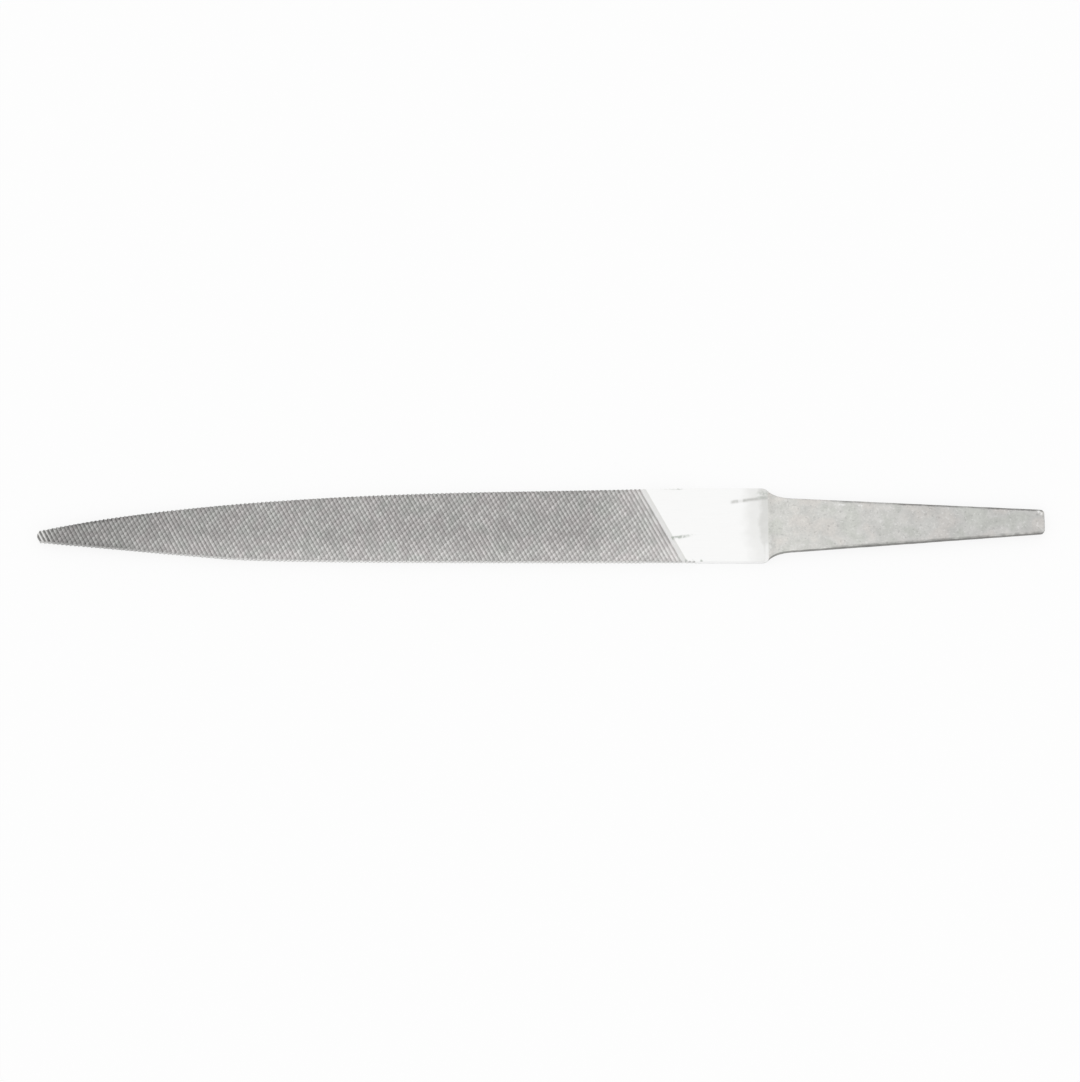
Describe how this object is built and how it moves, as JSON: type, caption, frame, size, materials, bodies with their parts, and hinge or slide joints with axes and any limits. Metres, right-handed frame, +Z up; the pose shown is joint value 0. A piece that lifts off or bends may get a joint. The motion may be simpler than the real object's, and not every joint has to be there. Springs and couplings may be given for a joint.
{
  "type": "flat file",
  "caption": "Small pointed flat file: a double-cut blade that narrows to a blunt point, a bare ground heel and a tapering tang for a handle. A rigid bar of steel without moving parts.",
  "frame": {"origin": "middle of the length and of the width, on the plane that the lower tooth tips rest on", "axes": "+X along the file from the point to the end of the tang, +Y across it, +Z up through its thickness"},
  "size_m": [0.1378, 0.0104, 0.0014],
  "materials": {
    "toothed_steel": "hardened steel with chiselled teeth, mid grey, matt between bright tooth tips",
    "ground_steel": "bright ground steel, satin, with faint scratches",
    "forged_steel": "forged and blasted steel, light grey, fine even speckle"
  },
  "bodies": {
    "root": {"toothed_blade": "toothed_steel", "heel": "ground_steel", "tang": "forged_steel"}
  },
  "joints": []
}
